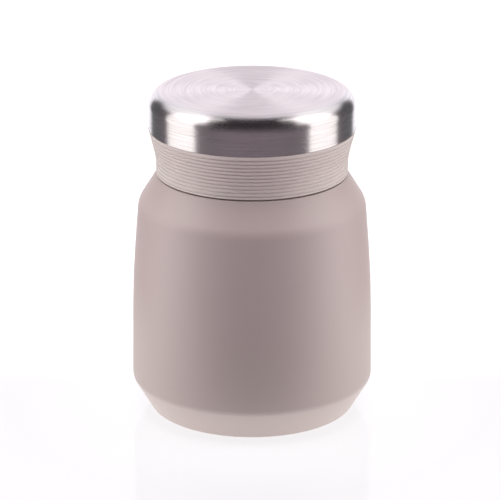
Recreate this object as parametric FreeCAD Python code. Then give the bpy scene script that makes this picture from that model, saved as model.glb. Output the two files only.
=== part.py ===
import FreeCAD
import Part
import math
import os
from FreeCAD import Vector

# Insulated food jar with a screw lid, in millimetres.
# +Z is up and is the jar's own axis. The origin is the middle of the face that it stands on.
# Every piece is turned from a half section in the XZ plane, given as (radius, height) corners.

# Jar body, outside
pad_stand = 0.6            # how far the silicone foot stands below the steel
body_radius = 50.0
ledge_height = 101.0       # from the steel foot to the ledge that the lid's skirt comes down to
foot_inset = 7.9           # the base chamfer, inwards
foot_round = 2.4
chamfer_height = 13.4
chamfer_round = 5.0
wall_lean = 0.5            # the wall has leant in by this much where it bends
wall_bend_height = 56.6    # from the steel foot
wall_bend_round = 400.0
shoulder_inset = 3.1
shoulder_drop = 11.9       # from the ledge down to the shoulder's corner
shoulder_round = 9.7
ledge_edge_round = 0.8
neck_height = 18.5         # from the ledge to the end of the outer neck
neck_root_round = 1.2
shell_wall = 0.6

# Recess under the jar
foot_face_width = 5.5
recess_depth = 4.0
recess_round = 1.2
cover_clearance = 0.2
cover_thickness = 1.6
cover_rim_width = 1.4
cover_edge_round = 0.5
cover_inset = 0.6          # the cover lies this far above the steel foot
pad_inset = 3.8            # from the recess wall to the pad
pad_width = 10.6
pad_groove_depth = 0.6
pad_groove_clearance = 0.2
pad_edge_round = 0.4

# Vacuum base, its evacuation hole and the getter
base_plate_thickness = 0.6
dimple_radius = 7.5
dimple_floor_radius = 6.0
dimple_height = 1.2
vent_hole_radius = 1.2
bead_radius = 4.2
bead_thickness = 1.0
bead_round = 0.8
bead_stem_clearance = 0.05
getter_offset = 18.0
getter_pan_radius = 6.0
getter_pan_height = 2.6
getter_pan_wall = 0.3
getter_pellet_height = 1.7
getter_clearance = 0.1

# Inner vessel
liner_wall = 0.5
vacuum_gap = 4.9           # between the two walls, where the outer one bends
vessel_floor_height = 10.8 # food side, above the steel foot
vessel_floor_round = 9.0
floor_weld_height = 1.1    # straight wall of the welded floor above its corner
liner_shoulder_drop = 12.1 # from the ledge
liner_shoulder_round = 8.0
liner_neck_drop = 2.6      # from the ledge to where the liner's neck starts
liner_neck_round = 4.0
neck_gap = 0.9             # vacuum between the two necks
rim_overhang = 0.2         # the rolled rim reaches past the outer neck
rim_round = 0.9

# Copper heat shield in the vacuum
foil_thickness = 0.12
foil_clearance = 0.05
foil_margin = 3.0          # bare liner above and below the wrap
foil_disc_inset = 12.0     # from the liner's wall

# Screw thread
thread_starts = 3
thread_lead = 12.0
neck_ridge_turn = 235.0    # degrees that each ridge runs
lid_ridge_turn = 170.0
thread_bottom = 5.6        # lowest ridge centre above the ledge
neck_ridge_height = 1.1
ridge_root_width = 1.9
ridge_tip_width = 0.9
ridge_bite = 0.3           # how far a ridge is rooted in its wall
ridge_fade = 26.0          # degrees over which a ridge's end sinks into its wall
ridge_play = 0.2           # between the ridges that bear on each other
ridge_tip_clearance = 0.35
ridge_root_clearance = 0.5

# Lid, outside
grip_radius = 39.5
grip_flare = 3.0
grip_height = 18.7         # from the lid's edge to the steel cap
grip_waist_height = 6.7    # from the lid's edge to the middle of the bend
grip_bend_round = 28.0
grip_edge_round = 0.4
lid_gap = 0.5              # dark line between the lid and the ledge
groove_count = 11
groove_pitch = 1.58
groove_radius = 0.45
groove_depth = 0.42
lowest_groove = 1.25       # above the lid's edge

# Steel cap
cap_inset = 0.2            # from the grip's top edge
cap_height = 15.9
cap_wall = 0.5
cap_round = 6.5
cap_clearance = 0.12
cap_gap = 0.1              # between the cap's edge and the plastic step under it

# Lid mouldings
grip_wall = 1.6
deck_thickness = 1.8
tape_thickness = 1.2
tape_inset = 10.3          # from the cap's outside
tape_width = 12.0
shelf_width = 2.0
shelf_thickness = 1.6
shelf_height = 24.5        # above the lid's edge
skirt_wall = 1.2
skirt_recess = 0.8         # the threaded skirt ends this far inside the grip
skirt_clearance = 0.1
web_thickness = 1.6
plug_clearance = 1.7       # to the jar's mouth
plug_wall = 1.5
plug_floor = 1.6
plug_depth = 13.0          # below the jar's rim
plug_round = 3.0
plug_rib_width = 0.8       # the rib that holds the seal up
plug_rib_height = 0.9
foam_clearance = 0.15

# Silicone seal
seal_thickness = 2.1
seal_clearance = 0.1       # to the rim below it and to the web above it
seal_bore_clearance = 0.15
seal_overhang = 0.3        # past the rim, outwards
seal_skirt_length = 3.9
seal_skirt_wall = 0.9
seal_fin_count = 2
seal_fin_height = 0.7
seal_fin_round = 0.12
seal_fin_clearance = 0.1   # between the fins and the jar's mouth
seal_round = 0.3

# Radii that follow from the sizes above
wall_bend_radius = body_radius - wall_lean
shoulder_radius = body_radius - shoulder_inset
foot_radius = body_radius - foot_inset
recess_radius = foot_radius - foot_face_width
pad_outer_radius = recess_radius - pad_inset
pad_inner_radius = pad_outer_radius - pad_width
liner_outer = wall_bend_radius - shell_wall - vacuum_gap
liner_radius = liner_outer - liner_wall
grip_top_radius = grip_radius + grip_flare
cap_radius = grip_top_radius - cap_inset
tape_outer_radius = cap_radius - tape_inset
tape_inner_radius = tape_outer_radius - tape_width
skirt_outer = grip_radius - grip_wall - skirt_clearance
skirt_inner = skirt_outer - skirt_wall
neck_radius = skirt_inner - ridge_root_clearance - neck_ridge_height
mouth_radius = neck_radius - shell_wall - neck_gap - liner_wall
lid_ridge_height = skirt_inner - neck_radius - ridge_tip_clearance
plug_radius = mouth_radius - plug_clearance
seal_skirt_radius = plug_radius + seal_bore_clearance + seal_skirt_wall
seal_fin_radius = mouth_radius - seal_fin_clearance

# Heights that follow from the sizes above
foot = pad_stand
cover_bottom = foot + cover_inset
base_plate = foot + recess_depth
base_plate_top = base_plate + base_plate_thickness
vessel_floor = foot + vessel_floor_height
vessel_underside = vessel_floor - liner_wall
floor_weld = vessel_floor + vessel_floor_round + floor_weld_height
ledge = foot + ledge_height
liner_shoulder = ledge - liner_shoulder_drop
neck_top = ledge + neck_height
rim = neck_top + liner_wall
lid_edge = ledge + lid_gap
cap_edge = lid_edge + grip_height
cap_top = cap_edge + cap_gap + cap_height
cap_inside = cap_top - cap_wall
deck_top = cap_inside - tape_thickness
deck_bottom = deck_top - deck_thickness
shelf = lid_edge + shelf_height
web_bottom = rim + seal_clearance + seal_thickness + seal_clearance
web_top = web_bottom + web_thickness
seal_foot = rim + seal_clearance - seal_skirt_length
plug_bottom = rim - plug_depth
ridge_narrowing = (ridge_root_width - ridge_tip_width) * ridge_tip_clearance / neck_ridge_height
lid_ridge_drop = (ridge_root_width - ridge_narrowing + ridge_tip_width) / 2 + ridge_play


def unit(vector):
    return Vector(vector).normalize()


def rounded_edges(corners, rounds):
    """Lines through the corners of a half section, with an arc of its own radius at each corner."""
    points = [Vector(r, 0, z) for r, z in corners]
    edges = []
    start = points[0]
    for before, corner, after, radius in zip(points, points[1:], points[2:], rounds[1:-1]):
        back = unit(before - corner)
        ahead = unit(after - corner)
        half = back.getAngle(ahead) / 2
        if radius <= 0 or math.pi / 2 - half < 1e-6:
            edges.append(Part.LineSegment(start, corner).toShape())
            start = corner
            continue
        reach = radius / math.tan(half)
        leave = corner + back * reach
        middle = corner + unit(back + ahead) * (radius / math.sin(half) - radius)
        join = corner + ahead * reach
        if (leave - start).Length > 1e-6:
            edges.append(Part.LineSegment(start, leave).toShape())
        edges.append(Part.Arc(leave, middle, join).toShape())
        start = join
    edges.append(Part.LineSegment(start, points[-1]).toShape())
    return edges


def turned(edges):
    """The solid that a closed half section sweeps round the jar's axis."""
    section = Part.Face(Part.Wire(Part.__sortEdges__(edges)))
    solid = section.revolve(Vector(0, 0, 0), Vector(0, 0, 1), 360)
    return Part.Solid(solid.Shells[0])


def turned_block(corners, rounds=None):
    """A turned solid from the closed loop of its corners."""
    rounds = rounds or [0] * len(corners)
    return turned(rounded_edges(corners + [corners[0]], rounds + [0]))


def turned_sheet(corners, rounds, thickness):
    """A turned shell of even thickness. The corners run along one face, and the metal is to their left."""
    points = [Vector(r, 0, z) for r, z in corners]
    ways = [unit(b - a) for a, b in zip(points, points[1:])]
    lefts = [Vector(-way.z, 0, way.x) for way in ways]
    moved = [points[0] + lefts[0] * thickness]
    moved_rounds = [0]
    for k in range(1, len(points) - 1):
        before, after = lefts[k - 1], lefts[k]
        moved.append(points[k] + (before + after) * (thickness / (1 + before.dot(after))))
        turns_left = ways[k - 1].x * ways[k].z - ways[k - 1].z * ways[k].x > 0
        change = -thickness if turns_left else thickness
        moved_rounds.append(max(rounds[k] + change, 0) if rounds[k] else 0)
    moved.append(points[-1] + lefts[-1] * thickness)
    moved_rounds.append(0)
    far_side = rounded_edges([(p.x, p.z) for p in moved], moved_rounds)
    near_side = rounded_edges(corners, rounds)
    ends = [Part.LineSegment(points[0], moved[0]).toShape(), Part.LineSegment(points[-1], moved[-1]).toShape()]
    return turned(near_side + far_side + ends)


def ring(inner, outer, bottom, top):
    return turned_block([(inner, bottom), (outer, bottom), (outer, top), (inner, top)])


def thread_ridge(wall, height, outward, first_angle, turn, bottom):
    """One ridge of a screw thread on a wall of that radius, its ends sinking into the wall."""
    side = 1 if outward else -1
    count = max(int(math.ceil(turn / 10.0)), 8)
    points = []
    for k in range(count + 1):
        along = turn * k / count
        to_end = min(along, turn - along)
        sunk = height * max(0.0, 1 - to_end / ridge_fade) ** 2
        angle = math.radians(first_angle + along)
        radius = wall - side * sunk
        rise = thread_lead * along / 360
        points.append(Vector(radius * math.cos(angle), radius * math.sin(angle), bottom + rise))
    curve = Part.BSplineCurve()
    curve.interpolate(points)
    radial = Vector(math.cos(math.radians(first_angle)), math.sin(math.radians(first_angle)), 0)
    start = points[0]
    root = start - radial * (side * ridge_bite)
    tip = start + radial * (side * height)
    up = Vector(0, 0, 1)
    outline = Part.makePolygon([
        root - up * (ridge_root_width / 2),
        start - up * (ridge_root_width / 2),
        tip - up * (ridge_tip_width / 2),
        tip + up * (ridge_tip_width / 2),
        start + up * (ridge_root_width / 2),
        root + up * (ridge_root_width / 2),
        root - up * (ridge_root_width / 2),
    ])
    pipe = Part.BRepOffsetAPI.MakePipeShell(Part.Wire(curve.toShape()))
    pipe.setBiNormalMode(up)
    pipe.add(outline)
    pipe.build()
    pipe.makeSolid()
    ridge = pipe.shape()
    return Part.Solid(ridge.Shells[0])


def ridges(wall, height, outward, first_angle, turn, bottom):
    step = 360.0 / thread_starts
    return [
        thread_ridge(wall, height, outward, first_angle + step * k, turn, bottom)
        for k in range(thread_starts)
    ]


def one_solid(shape):
    """The joined shape as a single clean solid."""
    return shape.removeSplitter().Solids[0]


# Jar body

def outer_shell():
    corners = [
        (recess_radius, base_plate),
        (recess_radius, foot),
        (foot_radius, foot),
        (body_radius, foot + chamfer_height),
        (wall_bend_radius, foot + wall_bend_height),
        (shoulder_radius, ledge - shoulder_drop),
        (grip_radius, ledge),
        (neck_radius, ledge),
        (neck_radius, neck_top),
    ]
    rounds = [
        0, recess_round, foot_round, chamfer_round, wall_bend_round,
        shoulder_round, ledge_edge_round, neck_root_round, 0,
    ]
    shell = turned_sheet(corners, rounds, shell_wall)
    thread = ridges(neck_radius, neck_ridge_height, True, 0, neck_ridge_turn, ledge + thread_bottom)
    return one_solid(shell.fuse(thread))


def inner_vessel():
    corners = [
        (neck_radius + rim_overhang, rim),
        (mouth_radius, rim),
        (mouth_radius, ledge - liner_neck_drop),
        (liner_radius, liner_shoulder),
        (liner_radius, floor_weld),
    ]
    rounds = [0, rim_round, liner_neck_round, liner_shoulder_round, 0]
    return turned_sheet(corners, rounds, liner_wall)


def inner_base():
    corners = [(liner_radius, floor_weld), (liner_radius, vessel_floor), (0, vessel_floor)]
    return turned_sheet(corners, [0, vessel_floor_round, 0], liner_wall)


def copper_wrap():
    inner = liner_outer + foil_clearance
    top = liner_shoulder - liner_shoulder_round - foil_margin
    return ring(inner, inner + foil_thickness, floor_weld + foil_margin, top)


def copper_disc():
    bottom = vessel_underside - foil_clearance - foil_thickness
    return Part.makeCylinder(liner_outer - foil_disc_inset, foil_thickness, Vector(0, 0, bottom))


def vacuum_base():
    corners = [
        (recess_radius + shell_wall, base_plate),
        (dimple_radius, base_plate),
        (dimple_floor_radius, base_plate + dimple_height),
        (vent_hole_radius, base_plate + dimple_height),
    ]
    lifted = [(r, z + base_plate_thickness) for r, z in reversed(corners)]
    return turned_block(corners + lifted)


def sealing_bead():
    dimple_floor = base_plate + dimple_height
    stem = vent_hole_radius - bead_stem_clearance
    stem_top = dimple_floor + base_plate_thickness
    bottom = dimple_floor - bead_thickness
    corners = [(0, stem_top), (0, bottom), (bead_radius, bottom), (bead_radius, dimple_floor),
               (stem, dimple_floor), (stem, stem_top)]
    return turned_block(corners, [0, 0, bead_round, 0, 0, 0])


def getter_pan():
    pan = Part.makeCylinder(getter_pan_radius, getter_pan_height, Vector(getter_offset, 0, base_plate_top))
    inside = Part.makeCylinder(getter_pan_radius - getter_pan_wall, getter_pan_height,
                               Vector(getter_offset, 0, base_plate_top + getter_pan_wall))
    return pan.cut(inside).Solids[0]


def getter_pellet():
    radius = getter_pan_radius - getter_pan_wall - getter_clearance
    return Part.makeCylinder(radius, getter_pellet_height,
                             Vector(getter_offset, 0, base_plate_top + getter_pan_wall))


def base_cover():
    edge = recess_radius - cover_clearance
    top = cover_bottom + cover_thickness
    groove_in = pad_inner_radius - pad_groove_clearance
    groove_out = pad_outer_radius + pad_groove_clearance
    groove_top = cover_bottom + pad_groove_depth
    corners = [
        (0, cover_bottom), (groove_in, cover_bottom), (groove_in, groove_top), (groove_out, groove_top),
        (groove_out, cover_bottom), (edge, cover_bottom), (edge, base_plate),
        (edge - cover_rim_width, base_plate), (edge - cover_rim_width, top), (0, top),
    ]
    rounds = [0] * len(corners)
    rounds[5] = cover_edge_round
    return turned_block(corners, rounds)


def base_pad():
    top = cover_bottom + pad_groove_depth
    corners = [(pad_inner_radius, top), (pad_inner_radius, 0), (pad_outer_radius, 0), (pad_outer_radius, top)]
    return turned_block(corners, [0, pad_edge_round, pad_edge_round, 0])


# Lid

def grip_bend():
    """Where the grip's straight waist starts to bend outwards, where the bend ends, and its lean there."""
    lean = math.atan((grip_top_radius - grip_radius) / (grip_height - grip_waist_height))
    reach = grip_bend_round * math.tan(lean / 2)
    waist = lid_edge + grip_waist_height
    return waist - reach, waist + reach * math.cos(lean), lean


def grip_outside(z):
    """Radius of the grip's outside, without its grooves, at a height."""
    bend_start, bend_end, lean = grip_bend()
    if z <= bend_start:
        return grip_radius
    if z <= bend_end:
        return grip_radius + grip_bend_round - math.sqrt(grip_bend_round ** 2 - (z - bend_start) ** 2)
    return grip_top_radius - (cap_edge - z) * math.tan(lean)


def lid_grip():
    bore = grip_radius - grip_wall
    post = cap_radius - cap_wall - cap_clearance
    well = shelf + shelf_thickness
    corners = [
        (bore, lid_edge), (grip_radius, lid_edge), (grip_radius, lid_edge + grip_waist_height),
        (grip_top_radius, cap_edge), (post, cap_edge), (post, deck_top), (0, deck_top),
        (0, deck_bottom), (post - grip_wall, deck_bottom), (post - grip_wall, well),
        (bore - shelf_width, well), (bore - shelf_width, shelf), (bore, shelf),
    ]
    rounds = [0, grip_edge_round, grip_bend_round, 0, 0, cap_round - cap_wall, 0, 0, 0, 0, 0, 0, 0]
    grip = turned_block(corners, rounds)
    grooves = []
    for k in range(groove_count):
        height = lid_edge + lowest_groove + groove_pitch * k
        major = grip_outside(height) - groove_depth + groove_radius
        grooves.append(Part.makeTorus(major, groove_radius, Vector(0, 0, height)))
    return one_solid(grip.cut(grooves))


def lid_plug():
    bore = plug_radius - plug_wall
    rib = plug_radius + plug_rib_height
    rib_top = seal_foot - seal_clearance
    rib_bottom = rib_top - plug_rib_width
    corners = [
        (skirt_inner, lid_edge + skirt_recess), (skirt_outer, lid_edge + skirt_recess), (skirt_outer, shelf),
        (skirt_inner, shelf), (skirt_inner, web_top), (bore, web_top), (bore, plug_bottom + plug_floor),
        (0, plug_bottom + plug_floor), (0, plug_bottom), (plug_radius, plug_bottom),
        (plug_radius, rib_bottom), (rib, rib_bottom), (rib, rib_top), (plug_radius, rib_top),
        (plug_radius, web_bottom), (skirt_inner, web_bottom),
    ]
    rounds = [0] * len(corners)
    rounds[6] = plug_round - plug_wall
    rounds[9] = plug_round
    plug = turned_block(corners, rounds)
    thread = ridges(skirt_inner, lid_ridge_height, False, 0, lid_ridge_turn,
                    ledge + thread_bottom - lid_ridge_drop)
    return one_solid(plug.fuse(thread))


def lid_seal():
    bore = plug_radius + seal_bore_clearance
    outer = neck_radius + rim_overhang + seal_overhang
    bottom = rim + seal_clearance
    corners = [(bore, seal_foot), (seal_skirt_radius, seal_foot)]
    rounds = [0, seal_round]
    for k in range(seal_fin_count):
        low = seal_foot + seal_fin_height * (2 * k + 1)
        corners += [(seal_skirt_radius, low), (seal_fin_radius, low + seal_fin_height / 2),
                    (seal_skirt_radius, low + seal_fin_height)]
        rounds += [0, seal_fin_round, 0]
    corners += [(seal_skirt_radius, bottom), (outer, bottom), (outer, bottom + seal_thickness),
                (bore, bottom + seal_thickness)]
    rounds += [0, seal_round, seal_round, 0]
    return turned_block(corners, rounds)


def plug_foam():
    radius = plug_radius - plug_wall - foam_clearance
    bottom = plug_bottom + plug_floor
    corners = [(0, bottom), (radius, bottom), (radius, shelf), (0, shelf)]
    return turned_block(corners, [0, plug_round, 0, 0])


def deck_foam():
    radius = grip_radius - grip_wall - shelf_width - foam_clearance
    return Part.makeCylinder(radius, deck_bottom - shelf, Vector(0, 0, shelf))


def cap_tape():
    return ring(tape_inner_radius, tape_outer_radius, deck_top, cap_inside)


def cap_shell():
    inner = cap_radius - cap_wall
    corners = [(cap_radius, cap_edge + cap_gap), (cap_radius, cap_top), (0, cap_top)]
    return turned_sheet(corners, [0, cap_round, 0], cap_wall)


PIECES = [
    outer_shell, inner_vessel, inner_base, copper_wrap, copper_disc, vacuum_base, sealing_bead,
    getter_pan, getter_pellet, base_cover, base_pad,
    lid_seal, lid_grip, lid_plug, plug_foam, deck_foam, cap_tape, cap_shell,
]


def main():
    os.makedirs("parts", exist_ok=True)
    for make in PIECES:
        shape = make()
        if not (shape.isValid() and shape.isClosed() and shape.Volume > 0):
            raise ValueError(f"{make.__name__} is not a sound solid")
        print(f"{make.__name__}: {shape.Volume / 1000:.2f} cm3, {len(shape.Faces)} faces")
        shape.exportStep(f"parts/{make.__name__}.step")


main()
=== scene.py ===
import math

import bpy
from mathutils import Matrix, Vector


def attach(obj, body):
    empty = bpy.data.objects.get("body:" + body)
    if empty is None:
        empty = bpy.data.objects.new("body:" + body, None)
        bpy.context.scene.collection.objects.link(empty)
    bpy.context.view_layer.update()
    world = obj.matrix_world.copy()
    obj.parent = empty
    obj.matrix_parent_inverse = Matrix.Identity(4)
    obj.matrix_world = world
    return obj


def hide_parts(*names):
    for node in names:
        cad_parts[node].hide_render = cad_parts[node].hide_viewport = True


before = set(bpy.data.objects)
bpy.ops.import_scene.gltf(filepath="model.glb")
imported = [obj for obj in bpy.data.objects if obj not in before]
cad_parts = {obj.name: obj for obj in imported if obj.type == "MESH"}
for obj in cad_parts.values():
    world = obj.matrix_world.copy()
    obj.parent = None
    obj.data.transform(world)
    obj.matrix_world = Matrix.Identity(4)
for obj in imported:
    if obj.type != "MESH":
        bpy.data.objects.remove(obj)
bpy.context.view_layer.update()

# Body, in millimetres. The finer meshes repeat the solids' own sizes.
FOOT = 0.6                 # the steel foot, above the table
BODY_R = 50.0
FOOT_INSET = 7.9           # the base chamfer, inwards
FOOT_ROUND = 2.4
CHAMFER_H = 13.4
CHAMFER_ROUND = 5.0
WALL_LEAN = 0.5            # the wall has leant in by this much where it bends
WALL_BEND_H = 56.6         # from the steel foot
WALL_BEND_ROUND = 400.0
SHOULDER_INSET = 3.1
SHOULDER_DROP = 11.9       # from the ledge down to the shoulder's corner
SHOULDER_ROUND = 9.7
LEDGE = FOOT + 101.0
LEDGE_ROUND = 0.8
SHELL_WALL = 0.6
RECESS_R = 36.6
RECESS_ROUND = 1.2
BASE_PLATE = FOOT + 4.0
NECK_R = 35.0
NECK_ROOT_ROUND = 1.2
NECK_TOP = LEDGE + 18.5
MOUTH_R = 33.0
LINER_WALL = 0.5
RIM = NECK_TOP + LINER_WALL

# Screw thread
THREAD_STARTS = 3
THREAD_LEAD = 12.0
THREAD_BOTTOM = LEDGE + 5.6
NECK_RIDGE_TURN = 235      # degrees that each ridge runs
LID_RIDGE_TURN = 170
NECK_RIDGE_HEIGHT = 1.1
LID_RIDGE_HEIGHT = 1.25
RIDGE_ROOT = 1.9           # width where the ridge leaves the wall
RIDGE_TIP = 0.9
RIDGE_FADE = 26.0          # degrees over which a ridge's end sinks into its wall
RIDGE_PLAY = 0.2           # between the ridges that bear on each other
RIDGE_TIP_CLEARANCE = 0.35
RIDGE_NARROWING = (RIDGE_ROOT - RIDGE_TIP) * RIDGE_TIP_CLEARANCE / NECK_RIDGE_HEIGHT
LID_RIDGE_DROP = (RIDGE_ROOT - RIDGE_NARROWING + RIDGE_TIP) / 2 + RIDGE_PLAY

# Lid's grip, with its grooves
LID_EDGE = LEDGE + 0.5
GRIP_R = 39.5
GRIP_BORE = 37.9
GRIP_WALL = 1.6
GRIP_FLARE = 3.0
GRIP_TOP_R = GRIP_R + GRIP_FLARE
GRIP_WAIST = 6.7           # from the lid's edge to the middle of the bend
GRIP_BEND = 28.0           # radius of the bend
GRIP_EDGE_ROUND = 0.4
GROOVE_COUNT = 11
GROOVE_PITCH = 1.58
GROOVE_R = 0.45
GROOVE_DEPTH = 0.42
LOWEST_GROOVE = LID_EDGE + 1.25
SHELF = LID_EDGE + 24.5
SHELF_WIDTH = 2.0
SHELF_THICKNESS = 1.6

# Steel cap, and the deck under it
CAP_EDGE = LID_EDGE + 18.7
CAP_GAP = 0.1              # between the cap's edge and the plastic step under it
CAP_R = 42.3
CAP_TOP = CAP_EDGE + CAP_GAP + 15.9
CAP_ROUND = 6.5
CAP_WALL = 0.5
CAP_CLEARANCE = 0.12
TAPE_THICKNESS = 1.2
DECK_TOP = CAP_TOP - CAP_WALL - TAPE_THICKNESS
DECK_THICKNESS = 1.8
DECK_ROUND = 6.0

# Silicone seal
SEAL_CLEARANCE = 0.1       # to the rim below it and to the web above it
SEAL_THICKNESS = 2.1
SEAL_BORE_CLEARANCE = 0.15
SEAL_OVERHANG = 0.5        # past the neck, outwards
SEAL_SKIRT_WALL = 0.9
SEAL_BOTTOM = RIM + SEAL_CLEARANCE
SEAL_FOOT = SEAL_BOTTOM - 3.9
SEAL_ROUND = 0.3
FIN_COUNT = 2
FIN_HEIGHT = 0.7
FIN_ROUND = 0.12
FIN_CLEARANCE = 0.1        # between the fins and the jar's mouth

# Lid's inner moulding: the threaded skirt, the web over the seal and the plug
SKIRT_IN = 36.6
SKIRT_OUT = 37.8
SKIRT_RECESS = 0.8         # the skirt ends this far inside the grip
SKIRT_ROUND = 0.2
WEB_BOTTOM = SEAL_BOTTOM + SEAL_THICKNESS + SEAL_CLEARANCE
WEB_TOP = WEB_BOTTOM + 1.6
PLUG_R = 31.3
PLUG_WALL = 1.5
PLUG_FLOOR = 1.6
PLUG_BOTTOM = RIM - 13.0
PLUG_ROUND = 3.0
RIB_TOP = SEAL_FOOT - SEAL_CLEARANCE
RIB_WIDTH = 0.8            # the rib that holds the seal up
RIB_HEIGHT = 0.9
RIB_ROUND = 0.25

# Fineness of the turned meshes
AROUND = 256               # steps round the axis
GRIP_STEPS = 244           # steps up the grooved side

# Camera, in metres. It stands where the photograph's did, a little left of the jar's axis.
CAMERA_DISTANCE = 1.207
CAMERA_TILT = math.radians(19.11)
CAMERA_LENS = 209.2
AIM_ACROSS = -0.00085
AIM_HEIGHT = 0.06754

# Studio, in metres and watts. Strengths are 1 where a surface is white.
TABLE_R = 0.15             # to all but the camera, the table ends here
TABLE_FADE = 0.03
GLOW_R = 0.071             # the table glows under the jar as far as this
GLOW_FADE = 0.01
GLOW = 1.16
SIDE_GLOW = 1.0
FLOOR_LIFT = 0.7           # what the camera sees the table give off, near the jar and in front
BACK_LIFT = 0.9
FAR_LIFT = 1.0
NEAR_PAINTED_LIGHT = 0.08           # painted light added close to the jar, which lightens the jar's shadow on the table
FAR_FLOOR = 0.66           # the white ground beyond the table, for diffuse light
BACKDROP = 0.95
BOX_PLACE = (1.0, -0.09, 1.35)
BOX_SIZE = (0.75, 4.0)
BOX_POWER = 10.2
FILL_PLACE = (1.03, -0.1, 0.25)
FILL_SIZE = (0.8, 1.75)
FILL_POWER = 5.9
TOP_PLACE = (0, -0.05, 1.5)
TOP_SIZE = (1.2, 1.2)
TOP_POWER = 22.5

# Colours that show most
COAT_DARK = (0.37, 0.302, 0.299)
COAT_LIGHT = (0.46, 0.376, 0.372)
BARE_STEEL = (0.64, 0.63, 0.62)
GRIP_DARK = (0.55, 0.5, 0.482)
GRIP_LIGHT = (0.585, 0.53, 0.512)
CAP_COLOUR = (0.9, 0.855, 0.885)


# Half sections: corners in (radius, height) with the material on their left, and a rounding at each

def unit(v):
    return v.normalized()


def rounded(corners, rounds, step=5.0):
    """Runs of (point, outward normal) along the corners: lines, and arcs with points every few degrees."""
    pts = [Vector(c) for c in corners]
    runs = []
    start = pts[0]

    def line(a, b):
        if (b - a).length > 1e-6:
            way = unit(b - a)
            normal = Vector((way.y, -way.x))
            runs.append([(a, normal), (b, normal)])

    for before, corner, after, radius in zip(pts, pts[1:], pts[2:], rounds[1:-1]):
        back, ahead = unit(before - corner), unit(after - corner)
        half = back.angle(ahead) / 2
        if radius <= 0 or math.pi / 2 - half < 1e-6:
            line(start, corner)
            start = corner
            continue
        reach = radius / math.tan(half)
        line(start, corner + back * reach)
        centre = corner + unit(back + ahead) * (radius / math.sin(half))
        turn = math.pi - 2 * half
        side = 1 if back.y * ahead.x > back.x * ahead.y else -1
        count = max(int(math.ceil(math.degrees(turn) / step)), 2)
        first = corner + back * reach - centre
        arc = []
        for k in range(count + 1):
            a = side * turn * k / count
            spoke = Vector((first.x * math.cos(a) - first.y * math.sin(a),
                            first.x * math.sin(a) + first.y * math.cos(a)))
            arc.append((centre + spoke, unit(spoke) * side))
        runs.append(arc)
        start = corner + ahead * reach
    line(start, pts[-1])
    return runs


def loop(corners, rounds, step=5.0):
    """The runs round a closed section."""
    return rounded(corners + [corners[0]], list(rounds) + [0], step)


def sheet(corners, rounds, wall, step=5.0):
    """A closed section of even wall: the corners run along one face, and the wall is on their left."""
    pts = [Vector(c) for c in corners]
    ways = [unit(b - a) for a, b in zip(pts, pts[1:])]
    lefts = [Vector((-w.y, w.x)) for w in ways]
    moved = [pts[0] + lefts[0] * wall]
    moved_rounds = [0]
    for k in range(1, len(pts) - 1):
        a, b = lefts[k - 1], lefts[k]
        moved.append(pts[k] + (a + b) * (wall / (1 + a.dot(b))))
        bend = ways[k - 1].x * ways[k].y - ways[k - 1].y * ways[k].x
        moved_rounds.append(max(rounds[k] + (-wall if bend > 0 else wall), 0) if rounds[k] else 0)
    moved.append(pts[-1] + lefts[-1] * wall)
    moved_rounds.append(0)
    near = rounded(corners, rounds, step)
    far = rounded([tuple(p) for p in reversed(moved)], list(reversed(moved_rounds)), step)
    last = rounded([corners[-1], tuple(moved[-1])], [0, 0])
    first = rounded([tuple(moved[0]), corners[0]], [0, 0])
    return near + last + far + first


# Meshes

def add_mesh(name, verts, faces, smooth, material):
    """A new object from points in millimetres, with a flag for each face that is shaded smooth."""
    mesh = bpy.data.meshes.new(name)
    mesh.from_pydata([(x / 1000, y / 1000, z / 1000) for x, y, z in verts], [], faces)
    mesh.polygons.foreach_set("use_smooth", smooth)
    mesh.materials.append(material)
    piece = bpy.data.objects.new(name, mesh)
    bpy.context.collection.objects.link(piece)
    return piece


def lathe(name, runs, material):
    """A mesh turned about the jar's axis from the runs of a half section, with their exact normals."""
    verts, faces, normals, rings = [], [], [], {}
    turns = [(math.cos(2 * math.pi * k / AROUND), math.sin(2 * math.pi * k / AROUND))
             for k in range(AROUND)]

    def ring(p):
        key = (round(p.x, 5), round(p.y, 5))
        if key not in rings:
            rings[key] = len(verts)
            if p.x < 1e-6:
                verts.append((0, 0, p.y))
            else:
                verts.extend((p.x * c, p.x * s, p.y) for c, s in turns)
        return rings[key]

    for run in runs:
        for (p, n), (q, m) in zip(run, run[1:]):
            if p.x < 1e-6 and q.x < 1e-6:
                continue
            a, b = ring(p), ring(q)
            for k in range(AROUND):
                j = (k + 1) % AROUND
                (c, s), (d, t) = turns[k], turns[j]
                pn, pm = (n.x * c, n.x * s, n.y), (n.x * d, n.x * t, n.y)
                qn, qm = (m.x * c, m.x * s, m.y), (m.x * d, m.x * t, m.y)
                if p.x < 1e-6:
                    faces.append((a, b + j, b + k))
                    normals.append((pn, qm, qn))
                elif q.x < 1e-6:
                    faces.append((a + k, a + j, b))
                    normals.append((pn, pm, qn))
                else:
                    faces.append((a + k, a + j, b + j, b + k))
                    normals.append((pn, pm, qm, qn))
    piece = add_mesh(name, verts, faces, [True] * len(faces), material)
    piece.data.normals_split_custom_set([n for face in normals for n in face])
    return piece


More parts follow.
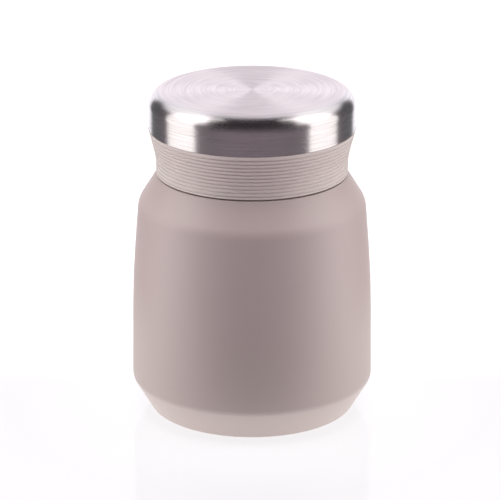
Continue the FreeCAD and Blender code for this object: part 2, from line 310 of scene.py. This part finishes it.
def ridge(name, wall, height, outward, first, turn, bottom, material):
    """One ridge of a screw thread, its crest rounded and its ends sinking into the wall."""
    side = 1 if outward else -1
    half = [(1.0, RIDGE_TIP / 4), (0.85, RIDGE_TIP / 2), (0.45, RIDGE_ROOT / 3.2), (0.0, RIDGE_ROOT / 2),
            (-0.3, RIDGE_ROOT / 2)]
    shape = [(out, -up) for out, up in reversed(half)] + half
    count = int(turn / 3)
    verts, faces = [], []
    for k in range(count + 1):
        along = turn * k / count
        sunk = height * max(0.0, 1 - min(along, turn - along) / RIDGE_FADE) ** 2
        angle = math.radians(first + along)
        for out, up in shape:
            r = wall + side * (out * height - sunk)
            z = bottom + THREAD_LEAD * along / 360 + up
            verts.append((r * math.cos(angle), r * math.sin(angle), z))
    n = len(shape)
    for k in range(count):
        for i in range(n):
            j = (i + 1) % n
            quad = (k * n + i, (k + 1) * n + i, (k + 1) * n + j, k * n + j)
            faces.append(quad if outward else quad[::-1])
    start = tuple(range(n))
    end = tuple(reversed([count * n + i for i in range(n)]))
    faces += [start, end] if outward else [start[::-1], end[::-1]]
    return add_mesh(name, verts, faces, [len(f) == 4 for f in faces], material)


# Materials

def rgb(r, g, b):
    return (r, g, b, 1.0)


class Tree:
    """Short calls for building a node tree."""

    def __init__(self, tree):
        self.tree = tree

    def put(self, socket, value):
        if isinstance(value, bpy.types.NodeSocket):
            self.tree.links.new(value, socket)
        else:
            socket.default_value = value

    def add(self, kind, values=None, **attributes):
        node = self.tree.nodes.new(kind)
        for key, value in attributes.items():
            setattr(node, key, value)
        for key, value in (values or {}).items():
            self.put(node.inputs[key], value)
        return node

    def math(self, operation, a, b=0.0):
        return self.add("ShaderNodeMath", {0: a, 1: b}, operation=operation).outputs[0]

    def ramp(self, value, low, high, out_low=0.0, out_high=1.0):
        values = {"Value": value, "From Min": low, "From Max": high, "To Min": out_low, "To Max": out_high}
        return self.add("ShaderNodeMapRange", values).outputs["Result"]

    def between(self, fac, a, b):
        return self.add("ShaderNodeMix", {"Factor": fac, 2: a, 3: b}).outputs[0]

    def mix(self, fac, a, b):
        return self.add("ShaderNodeMix", {"Factor": fac, 6: a, 7: b}, data_type="RGBA").outputs[2]

    def mix_shaders(self, fac, a, b):
        return self.add("ShaderNodeMixShader", {0: fac, 1: a, 2: b}).outputs[0]


class Surface(Tree):
    """A material with one Principled shader."""

    def __init__(self, name):
        self.material = bpy.data.materials.new(name)
        self.material.use_nodes = True
        super().__init__(self.material.node_tree)
        self.bsdf = self.tree.nodes["Principled BSDF"]
        self.output = self.tree.nodes["Material Output"]

    def set(self, **values):
        for key, value in values.items():
            self.put(self.bsdf.inputs[key.replace("_", " ")], value)

    def where(self):
        return self.add("ShaderNodeTexCoord").outputs["Object"]

    def height(self):
        return self.add("ShaderNodeSeparateXYZ", {"Vector": self.where()}).outputs[2]

    def noise(self, vector, scale, detail, roughness=0.5):
        values = {"Vector": vector, "Scale": scale, "Detail": detail, "Roughness": roughness}
        return self.add("ShaderNodeTexNoise", values).outputs["Fac"]

    def bump(self, height, distance, strength):
        values = {"Strength": strength, "Distance": distance, "Height": height}
        return self.add("ShaderNodeBump", values).outputs["Normal"]

    def brushing(self, along, across):
        """Streaks that run round the axis: fine across them, and long along them."""
        parts = self.add("ShaderNodeSeparateXYZ", {"Vector": self.where()}).outputs
        squares = [self.math("MULTIPLY", part, part) for part in parts[:2]]
        radius = self.math("SQRT", self.math("ADD", squares[0], squares[1]))
        safe = self.math("MAXIMUM", radius, 1e-4)
        run = self.math("MULTIPLY", self.math("SUBTRACT", radius, parts[2]), across)
        x = self.math("MULTIPLY", self.math("DIVIDE", parts[0], safe), along)
        y = self.math("MULTIPLY", self.math("DIVIDE", parts[1], safe), along)
        return self.add("ShaderNodeCombineXYZ", {"X": run, "Y": x, "Z": y}).outputs[0]


def powder_coat():
    """Taupe powder coat with a fine grain, and bare steel above the ledge."""
    n = Surface("powder_coat")
    where = n.where()
    grain = n.noise(where, 2600.0, 2.0, 0.6)
    cloud = n.noise(where, 60.0, 2.0)
    streaks = n.noise(n.brushing(3.0, 2500.0), 1.0, 2.0)
    bare = n.ramp(n.height(), (LEDGE + 0.9) / 1000, (LEDGE + 1.1) / 1000)
    coat_colour = n.mix(n.ramp(grain, 0.25, 0.75, 0.42, 0.58), rgb(*COAT_DARK), rgb(*COAT_LIGHT))
    coat_relief = n.math("ADD", grain, n.math("MULTIPLY", cloud, 0.15))
    coat_roughness = n.ramp(grain, 0.3, 0.7, 0.44, 0.54)
    steel_relief = n.math("MULTIPLY", streaks, 0.2)
    steel_roughness = n.ramp(streaks, 0.3, 0.7, 0.24, 0.34)
    n.set(Base_Color=n.mix(bare, coat_colour, rgb(*BARE_STEEL)), Metallic=bare,
          Roughness=n.between(bare, coat_roughness, steel_roughness), IOR=1.85,
          Normal=n.bump(n.between(bare, coat_relief, steel_relief), 0.00003, 0.5))
    return n.material


def moulded(name, dark, light, roughness, grain_scale=1800.0):
    """Matt moulded plastic or silicone: faint mottling and a fine spark-eroded grain."""
    n = Surface(name)
    where = n.where()
    grain = n.noise(where, grain_scale, 2.0, 0.6)
    cloud = n.noise(where, 90.0, 3.0)
    n.set(Base_Color=n.mix(n.ramp(cloud, 0.3, 0.7, 0.3, 0.7), rgb(*dark), rgb(*light)),
          Roughness=n.ramp(grain, 0.3, 0.7, roughness - 0.04, roughness + 0.05),
          IOR=1.49, Normal=n.bump(grain, 0.00002, 0.5))
    return n.material


def brushed_steel(name, colour, roughness, anisotropic):
    """Stainless steel brushed round the axis, a little glossier below the cap's flat top."""
    n = Surface(name)
    fine = n.noise(n.brushing(1.5, 1500.0), 1.0, 3.0, 0.65)
    broad = n.noise(n.brushing(1.0, 700.0), 1.0, 2.0)
    tone = n.math("ADD", n.math("MULTIPLY", fine, 0.8), n.math("MULTIPLY", broad, 0.2))
    dark = tuple(0.84 * c for c in colour)
    light = tuple(min(1.1 * c, 1.0) for c in colour)
    gloss = n.ramp(n.height(), (CAP_TOP - 1.2) / 1000, (CAP_TOP - 0.2) / 1000, -0.06, 0.0)
    n.set(Base_Color=n.mix(n.ramp(tone, 0.32, 0.68), rgb(*dark), rgb(*light)), Metallic=1.0,
          Roughness=n.math("ADD", gloss, n.ramp(tone, 0.3, 0.7, roughness + 0.03, roughness - 0.03)),
          Anisotropic=anisotropic, Anisotropic_Rotation=0.25,
          Tangent=n.add("ShaderNodeTangent", direction_type="RADIAL", axis="Z").outputs[0],
          Normal=n.bump(tone, 0.000001, 0.5))
    return n.material


def satin_steel(name, colour, roughness):
    """Plain drawn steel inside the jar."""
    n = Surface(name)
    streaks = n.noise(n.brushing(2.0, 1800.0), 1.0, 3.0)
    cloud = n.noise(n.where(), 70.0, 3.0)
    tone = n.math("ADD", n.math("MULTIPLY", streaks, 0.6), n.math("MULTIPLY", cloud, 0.4))
    dark = tuple(0.88 * c for c in colour)
    n.set(Base_Color=n.mix(n.ramp(tone, 0.3, 0.7), rgb(*dark), rgb(*colour)), Metallic=1.0,
          Roughness=n.ramp(tone, 0.3, 0.7, roughness - 0.05, roughness + 0.06),
          Normal=n.bump(streaks, 0.00001, 0.4))
    return n.material


def copper_foil():
    """Thin copper, a little wrinkled."""
    n = Surface("copper_foil")
    wrinkle = n.noise(n.where(), 130.0, 4.0, 0.6)
    fac = n.ramp(wrinkle, 0.3, 0.7)
    n.set(Base_Color=n.mix(fac, rgb(0.78, 0.42, 0.28), rgb(0.93, 0.58, 0.42)), Metallic=1.0,
          Roughness=n.ramp(wrinkle, 0.3, 0.7, 0.16, 0.3), Normal=n.bump(wrinkle, 0.0004, 0.5))
    return n.material


def foam(name, colour, cell):
    """Foam with rounded cells, darker between them."""
    n = Surface(name)
    cells = n.add("ShaderNodeTexVoronoi", {"Vector": n.where(), "Scale": cell}).outputs["Distance"]
    dark = tuple(0.84 * c for c in colour)
    n.set(Base_Color=n.mix(n.ramp(cells, 0.0, 0.6), rgb(*dark), rgb(*colour)), Roughness=0.85,
          Normal=n.bump(cells, 0.0003, 0.6))
    return n.material


def grainy(name, dark, light, scale, roughness, metallic=0.0):
    """Solder glass or pressed getter powder."""
    n = Surface(name)
    grain = n.noise(n.where(), scale, 4.0, 0.7)
    n.set(Base_Color=n.mix(n.ramp(grain, 0.3, 0.7), rgb(*dark), rgb(*light)), Metallic=metallic,
          Roughness=n.ramp(grain, 0.3, 0.7, roughness - 0.08, roughness + 0.08),
          Normal=n.bump(grain, 0.00008, 0.5))
    return n.material


coat = powder_coat()
grip_plastic = moulded("grip_plastic", GRIP_DARK, GRIP_LIGHT, 0.5)
plug_plastic = moulded("plug_plastic", (0.44, 0.37, 0.355), (0.47, 0.395, 0.38), 0.42)
silicone = moulded("seal_silicone", (0.74, 0.73, 0.7), (0.8, 0.79, 0.76), 0.55, 1500.0)
pad_rubber = moulded("pad_silicone", (0.2, 0.175, 0.165), (0.24, 0.21, 0.2), 0.7, 1500.0)
cap_steel = brushed_steel("cap_steel", CAP_COLOUR, 0.315, 0.91)
liner_steel = satin_steel("liner_steel", (0.66, 0.65, 0.64), 0.27)
copper = copper_foil()
foam_white = foam("insulation_foam", (0.9, 0.88, 0.8), 900.0)
tape_white = foam("bonding_tape", (0.82, 0.82, 0.82), 2200.0)
glass_bead = grainy("solder_glass", (0.05, 0.06, 0.06), (0.1, 0.11, 0.11), 400.0, 0.2)
getter = grainy("getter_alloy", (0.2, 0.2, 0.21), (0.36, 0.36, 0.37), 3000.0, 0.6, 0.6)

for node, material in {
    "inner_vessel": liner_steel, "inner_base": liner_steel,
    "vacuum_base": liner_steel, "getter_pan": liner_steel,
    "copper_wrap": copper, "copper_disc": copper,
    "sealing_bead": glass_bead, "getter_pellet": getter,
    "base_cover": plug_plastic, "base_pad": pad_rubber,
    "plug_foam": foam_white, "deck_foam": foam_white, "cap_tape": tape_white,
}.items():
    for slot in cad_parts[node].material_slots:
        slot.material = material


# The coated body

def body_shell():
    profile = [
        (RECESS_R, BASE_PLATE, 0), (RECESS_R, FOOT, RECESS_ROUND), (BODY_R - FOOT_INSET, FOOT, FOOT_ROUND),
        (BODY_R, FOOT + CHAMFER_H, CHAMFER_ROUND),
        (BODY_R - WALL_LEAN, FOOT + WALL_BEND_H, WALL_BEND_ROUND),
        (BODY_R - SHOULDER_INSET, LEDGE - SHOULDER_DROP, SHOULDER_ROUND),
        (GRIP_R, LEDGE, LEDGE_ROUND), (NECK_R, LEDGE, NECK_ROOT_ROUND), (NECK_R, NECK_TOP, 0),
    ]
    corners = [(r, z) for r, z, _ in profile]
    rounds = [size for _, _, size in profile]
    shell = lathe("body_shell", sheet(corners, rounds, SHELL_WALL, step=2.5), coat)
    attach(shell, "jar")
    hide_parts("outer_shell")
    for k in range(THREAD_STARTS):
        piece = ridge(f"neck_thread_{k + 1}", NECK_R, NECK_RIDGE_HEIGHT, True, k * 360 / THREAD_STARTS,
                      NECK_RIDGE_TURN, THREAD_BOTTOM, coat)
        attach(piece, "jar")


# The lid

def grip_outline(z):
    """Radius of the grip's outside at a height, without its grooves."""
    lean = math.atan(GRIP_FLARE / (CAP_EDGE - LID_EDGE - GRIP_WAIST))
    reach = GRIP_BEND * math.tan(lean / 2)
    start = LID_EDGE + GRIP_WAIST - reach
    end = LID_EDGE + GRIP_WAIST + reach * math.cos(lean)
    if z <= start:
        return GRIP_R
    if z <= end:
        return GRIP_R + GRIP_BEND - math.sqrt(GRIP_BEND ** 2 - (z - start) ** 2)
    return GRIP_TOP_R - (CAP_EDGE - z) * math.tan(lean)


def grooved_outline(z):
    """Radius of the grip's outside at a height, its grooves included."""
    r = grip_outline(z)
    for k in range(GROOVE_COUNT):
        middle = LOWEST_GROOVE + GROOVE_PITCH * k
        if abs(z - middle) < GROOVE_R:
            centre = grip_outline(middle) - GROOVE_DEPTH + GROOVE_R
            r = min(r, centre - math.sqrt(GROOVE_R ** 2 - (z - middle) ** 2))
    return r


def grip():
    post = CAP_R - CAP_WALL - CAP_CLEARANCE
    post_inside = post - GRIP_WALL
    shelf_r = GRIP_BORE - SHELF_WIDTH
    deck_bottom = DECK_TOP - DECK_THICKNESS
    shelf_top = SHELF + SHELF_THICKNESS
    side_start = LID_EDGE + GRIP_EDGE_ROUND
    low = rounded([(GRIP_BORE, LID_EDGE), (GRIP_R, LID_EDGE), (GRIP_R, side_start)],
                  [0, GRIP_EDGE_ROUND, 0], step=10.0)
    reach = 0.05
    side = []
    for k in range(GRIP_STEPS + 1):
        z = side_start + (CAP_EDGE - side_start) * k / GRIP_STEPS
        rise = grooved_outline(z + reach) - grooved_outline(z - reach)
        side.append((Vector((grooved_outline(z), z)), unit(Vector((2 * reach, -rise)))))
    rest = rounded(
        [(GRIP_TOP_R, CAP_EDGE), (post, CAP_EDGE), (post, DECK_TOP), (0, DECK_TOP),
         (0, deck_bottom), (post_inside, deck_bottom), (post_inside, shelf_top), (shelf_r, shelf_top),
         (shelf_r, SHELF), (GRIP_BORE, SHELF), (GRIP_BORE, LID_EDGE)],
        [0, 0, DECK_ROUND, 0, 0, 0, 0, 0, 0, 0, 0])
    piece = lathe("grip_moulding", low + [side] + rest, grip_plastic)
    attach(piece, "lid")
    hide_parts("lid_grip")


def cap():
    corners = [(CAP_R, CAP_EDGE + CAP_GAP), (CAP_R, CAP_TOP), (0, CAP_TOP)]
    piece = lathe("steel_cap", sheet(corners, [0, CAP_ROUND, 0], CAP_WALL, step=3.0), cap_steel)
    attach(piece, "lid")
    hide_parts("cap_shell")


def plug():
    bore = PLUG_R - PLUG_WALL
    skirt_end = LID_EDGE + SKIRT_RECESS
    floor_top = PLUG_BOTTOM + PLUG_FLOOR
    rib = PLUG_R + RIB_HEIGHT
    rib_bottom = RIB_TOP - RIB_WIDTH
    corners = [
        (SKIRT_IN, skirt_end), (SKIRT_OUT, skirt_end), (SKIRT_OUT, SHELF), (SKIRT_IN, SHELF),
        (SKIRT_IN, WEB_TOP), (bore, WEB_TOP), (bore, floor_top), (0, floor_top),
        (0, PLUG_BOTTOM), (PLUG_R, PLUG_BOTTOM), (PLUG_R, rib_bottom), (rib, rib_bottom),
        (rib, RIB_TOP), (PLUG_R, RIB_TOP), (PLUG_R, WEB_BOTTOM), (SKIRT_IN, WEB_BOTTOM),
    ]
    rounds = [SKIRT_ROUND, SKIRT_ROUND, 0, 0, 0, 0, PLUG_WALL, 0, 0, PLUG_ROUND, 0, RIB_ROUND, RIB_ROUND, 0,
              0.3, 0.6]
    piece = lathe("plug_moulding", loop(corners, rounds), plug_plastic)
    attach(piece, "lid")
    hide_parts("lid_plug")
    for k in range(THREAD_STARTS):
        thread = ridge(f"lid_thread_{k + 1}", SKIRT_IN, LID_RIDGE_HEIGHT, False, k * 360 / THREAD_STARTS,
                       LID_RIDGE_TURN, THREAD_BOTTOM - LID_RIDGE_DROP, plug_plastic)
        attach(thread, "lid")


def seal():
    bore = PLUG_R + SEAL_BORE_CLEARANCE
    skirt = bore + SEAL_SKIRT_WALL
    fin = MOUTH_R - FIN_CLEARANCE
    outer = NECK_R + SEAL_OVERHANG
    top = SEAL_BOTTOM + SEAL_THICKNESS
    corners = [(bore, SEAL_FOOT), (skirt, SEAL_FOOT)]
    rounds = [0, SEAL_ROUND]
    for k in range(FIN_COUNT):
        low = SEAL_FOOT + FIN_HEIGHT * (2 * k + 1)
        corners += [(skirt, low), (fin, low + FIN_HEIGHT / 2), (skirt, low + FIN_HEIGHT)]
        rounds += [0, FIN_ROUND, 0]
    corners += [(skirt, SEAL_BOTTOM), (outer, SEAL_BOTTOM), (outer, top), (bore, top)]
    rounds += [0, SEAL_ROUND, SEAL_ROUND, 0]
    piece = lathe("seal_ring", loop(corners, rounds, step=15.0), silicone)
    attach(piece, "seal")
    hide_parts("lid_seal")


# Studio: a glossy white table, a tall soft box and a fill on each side, a top light and white around it

def floor():
    """The table. The camera sees it white everywhere, and painted light close to the jar lightens the jar's
    shadow there. Other rays see a small round one that glows.
    """
    n = Surface("studio_floor")
    camera_ray = n.add("ShaderNodeLightPath").outputs["Is Camera Ray"]
    where = n.where()
    speckle = n.noise(where, 30.0, 2.0)
    reach = n.add("ShaderNodeVectorMath", {"Vector": where}, operation="LENGTH").outputs["Value"]
    across, away, _ = n.add("ShaderNodeSeparateXYZ", {"Vector": where}).outputs
    under_jar = n.ramp(reach, GLOW_R - GLOW_FADE, GLOW_R + GLOW_FADE, GLOW, 0.0)
    beside_jar = n.ramp(n.math("ABSOLUTE", across), 0.03, 0.11, 0.0, SIDE_GLOW)
    glow = n.math("MAXIMUM", under_jar, beside_jar)
    behind_jar = n.ramp(away, 0.02, 0.12, FLOOR_LIFT, BACK_LIFT)
    far_off = n.ramp(reach, 0.15, 0.3, FLOOR_LIFT, FAR_LIFT)
    # Painted light: close to the jar the camera sees the table give off more, which lightens the jar's
    # shadow there.
    painted_light_by_jar = n.ramp(reach, 0.05, 0.1, NEAR_PAINTED_LIGHT, 0.0)
    lift = n.math("ADD", n.math("MAXIMUM", behind_jar, far_off), painted_light_by_jar)
    n.set(Base_Color=n.mix(camera_ray, rgb(0.32, 0.315, 0.32), rgb(0.15, 0.149, 0.152)),
          Roughness=n.ramp(speckle, 0.3, 0.7, 0.05, 0.07), IOR=1.3,
          Emission_Color=n.mix(camera_ray, rgb(1.0, 0.99, 0.95), rgb(0.985, 0.975, 1.0)),
          Emission_Strength=n.between(camera_ray, glow, lift))
    table = n.ramp(reach, TABLE_R - TABLE_FADE, TABLE_R + TABLE_FADE, 1.0, 0.0)
    clear = n.add("ShaderNodeBsdfTransparent").outputs[0]
    shown = n.math("MAXIMUM", camera_ray, table)
    n.put(n.output.inputs["Surface"], n.mix_shaders(shown, clear, n.bsdf.outputs[0]))
    half = 4000
    corners = [(-half, -half, 0), (half, -half, 0), (half, half, 0), (-half, half, 0)]
    piece = add_mesh("studio_floor", corners, [(0, 1, 2, 3)], [False], n.material)


def lamp(name, place, turn, size, power, colour):
    """An area lamp that the camera doesn't see."""
    data = bpy.data.lights.new(name, "AREA")
    data.shape = "RECTANGLE"
    data.size, data.size_y = size
    data.energy = power
    data.color = colour
    piece = bpy.data.objects.new(name, data)
    piece.location = place
    piece.rotation_euler = turn
    piece.visible_camera = False
    bpy.context.collection.objects.link(piece)
    return piece


def lights():
    """The soft boxes show in the steel. The fills and the top light don't."""
    for side, name in ((-1, "left"), (1, "right")):
        turn = (math.pi / 2, 0, math.pi / 2 * side)
        x, y, z = BOX_PLACE
        lamp(f"soft_box_{name}", (side * x, y, z), turn, BOX_SIZE, BOX_POWER, (1.0, 0.985, 0.935))
        x, y, z = FILL_PLACE
        fill = lamp(f"side_fill_{name}", (side * x, y, z), turn, FILL_SIZE, FILL_POWER,
                    (1.0, 0.985, 0.95))
        fill.visible_glossy = False
    top = lamp("top_light", TOP_PLACE, (0, 0, 0), TOP_SIZE, TOP_POWER, (1.0, 0.985, 0.98))
    top.visible_glossy = False


def surroundings():
    """White to the camera. To other rays, a dark room, white behind the jar and high at its sides."""
    world = bpy.data.worlds.new("studio")
    bpy.context.scene.world = world
    world.use_nodes = True
    world.node_tree.nodes.clear()
    n = Tree(world.node_tree)
    direction = n.add("ShaderNodeTexCoord").outputs["Generated"]
    x, y, z = n.add("ShaderNodeSeparateXYZ", {"Vector": direction}).outputs
    level = n.math("SQRT", n.math("ADD", n.math("MULTIPLY", x, x), n.math("MULTIPLY", y, y)))
    toward_back = n.math("DIVIDE", y, n.math("MAXIMUM", level, 0.001))
    behind = n.math("MULTIPLY", n.ramp(toward_back, 0.85, 0.9), n.ramp(z, 0.93, 0.985, 1.0, 0.0))
    sideways = n.math("ADD", n.math("ABSOLUTE", x), n.math("MULTIPLY", y, 0.5))
    high_side = n.math("MULTIPLY", n.ramp(sideways, 0.4, 0.52), n.ramp(z, 0.4, 0.52))
    white = n.math("MULTIPLY", n.math("MAXIMUM", behind, high_side), BACKDROP)
    front = n.ramp(toward_back, -0.97, -0.7, 1.2, 0.85)
    room = n.math("MULTIPLY", n.ramp(z, -0.2, 0.5, 0.15, 0.02), front)
    path = n.add("ShaderNodeLightPath").outputs
    ground = n.math("MULTIPLY", n.ramp(z, -0.04, 0.0, FAR_FLOOR, 0.0), path["Is Diffuse Ray"])
    strength = n.math("ADD", white, n.math("ADD", room, ground))
    back_tint = n.mix(n.ramp(toward_back, 0.96, 0.995), rgb(0.965, 0.965, 1.0), rgb(1.0, 0.92, 0.965))
    room_tint = n.mix(n.ramp(toward_back, 0.3, 0.7), rgb(1.0, 0.82, 0.91), back_tint)
    warm = n.math("MULTIPLY", high_side, n.ramp(toward_back, 0.7, 0.85, 1.0, 0.0))
    tint = n.mix(warm, room_tint, rgb(1.0, 0.985, 0.96))
    lit = n.add("ShaderNodeBackground", {"Color": tint, "Strength": strength}).outputs[0]
    plain = n.add("ShaderNodeBackground", {"Color": rgb(1.0, 1.0, 1.0), "Strength": 1.0}).outputs[0]
    n.add("ShaderNodeOutputWorld", {"Surface": n.mix_shaders(path["Is Camera Ray"], lit, plain)})


def set_camera():
    data = bpy.data.cameras.new("camera")
    data.lens = CAMERA_LENS
    data.sensor_width = 36.0
    data.clip_start = 0.05
    camera = bpy.data.objects.new("camera", data)
    bpy.context.collection.objects.link(camera)
    camera.location = (AIM_ACROSS, -CAMERA_DISTANCE * math.cos(CAMERA_TILT),
                       AIM_HEIGHT + CAMERA_DISTANCE * math.sin(CAMERA_TILT))
    camera.rotation_euler = (math.pi / 2 - CAMERA_TILT, 0, 0)
    bpy.context.scene.camera = camera


body_shell()
grip()
cap()
plug()
seal()
floor()
lights()
surroundings()
set_camera()
bpy.context.scene.view_settings.view_transform = "Standard"
